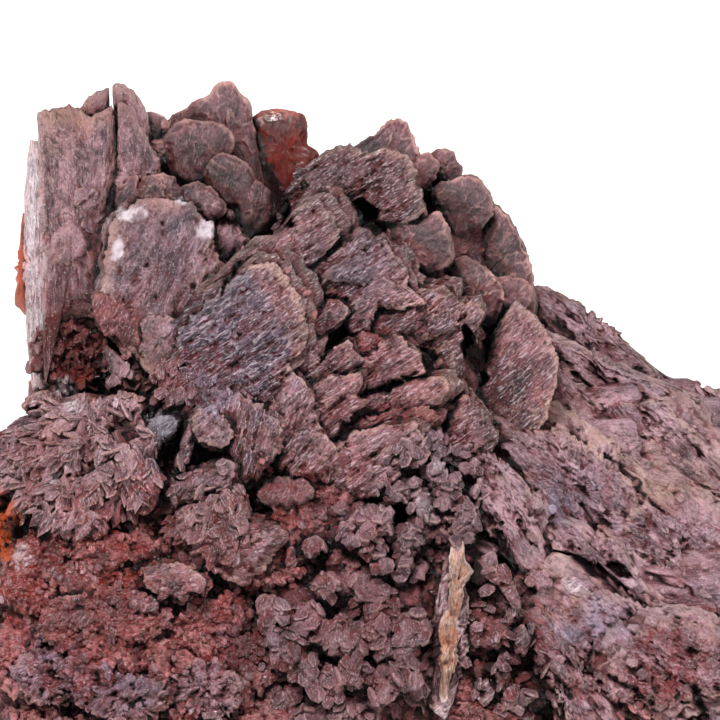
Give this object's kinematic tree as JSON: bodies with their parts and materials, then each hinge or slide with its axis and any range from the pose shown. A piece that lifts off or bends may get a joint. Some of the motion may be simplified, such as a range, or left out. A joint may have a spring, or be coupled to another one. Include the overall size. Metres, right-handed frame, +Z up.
{
  "type": "red gypsum specimen",
  "caption": "Free-standing mineral specimen: lens-shaped and tabular red gypsum blades in radiating fans, grown together on a granular matrix cut flat below.",
  "frame": {"origin": "middle of the object's box in plan, on the flat resting face", "axes": "+X to the right of the show face, -Y out of the show face towards the viewer, +Z up"},
  "size_m": [0.1116, 0.0686, 0.0829],
  "materials": {
    "gypsum": "rough crystalline mauve-red stone"
  },
  "bodies": {
    "root": {"gypsum_specimen": "gypsum"}
  },
  "joints": []
}
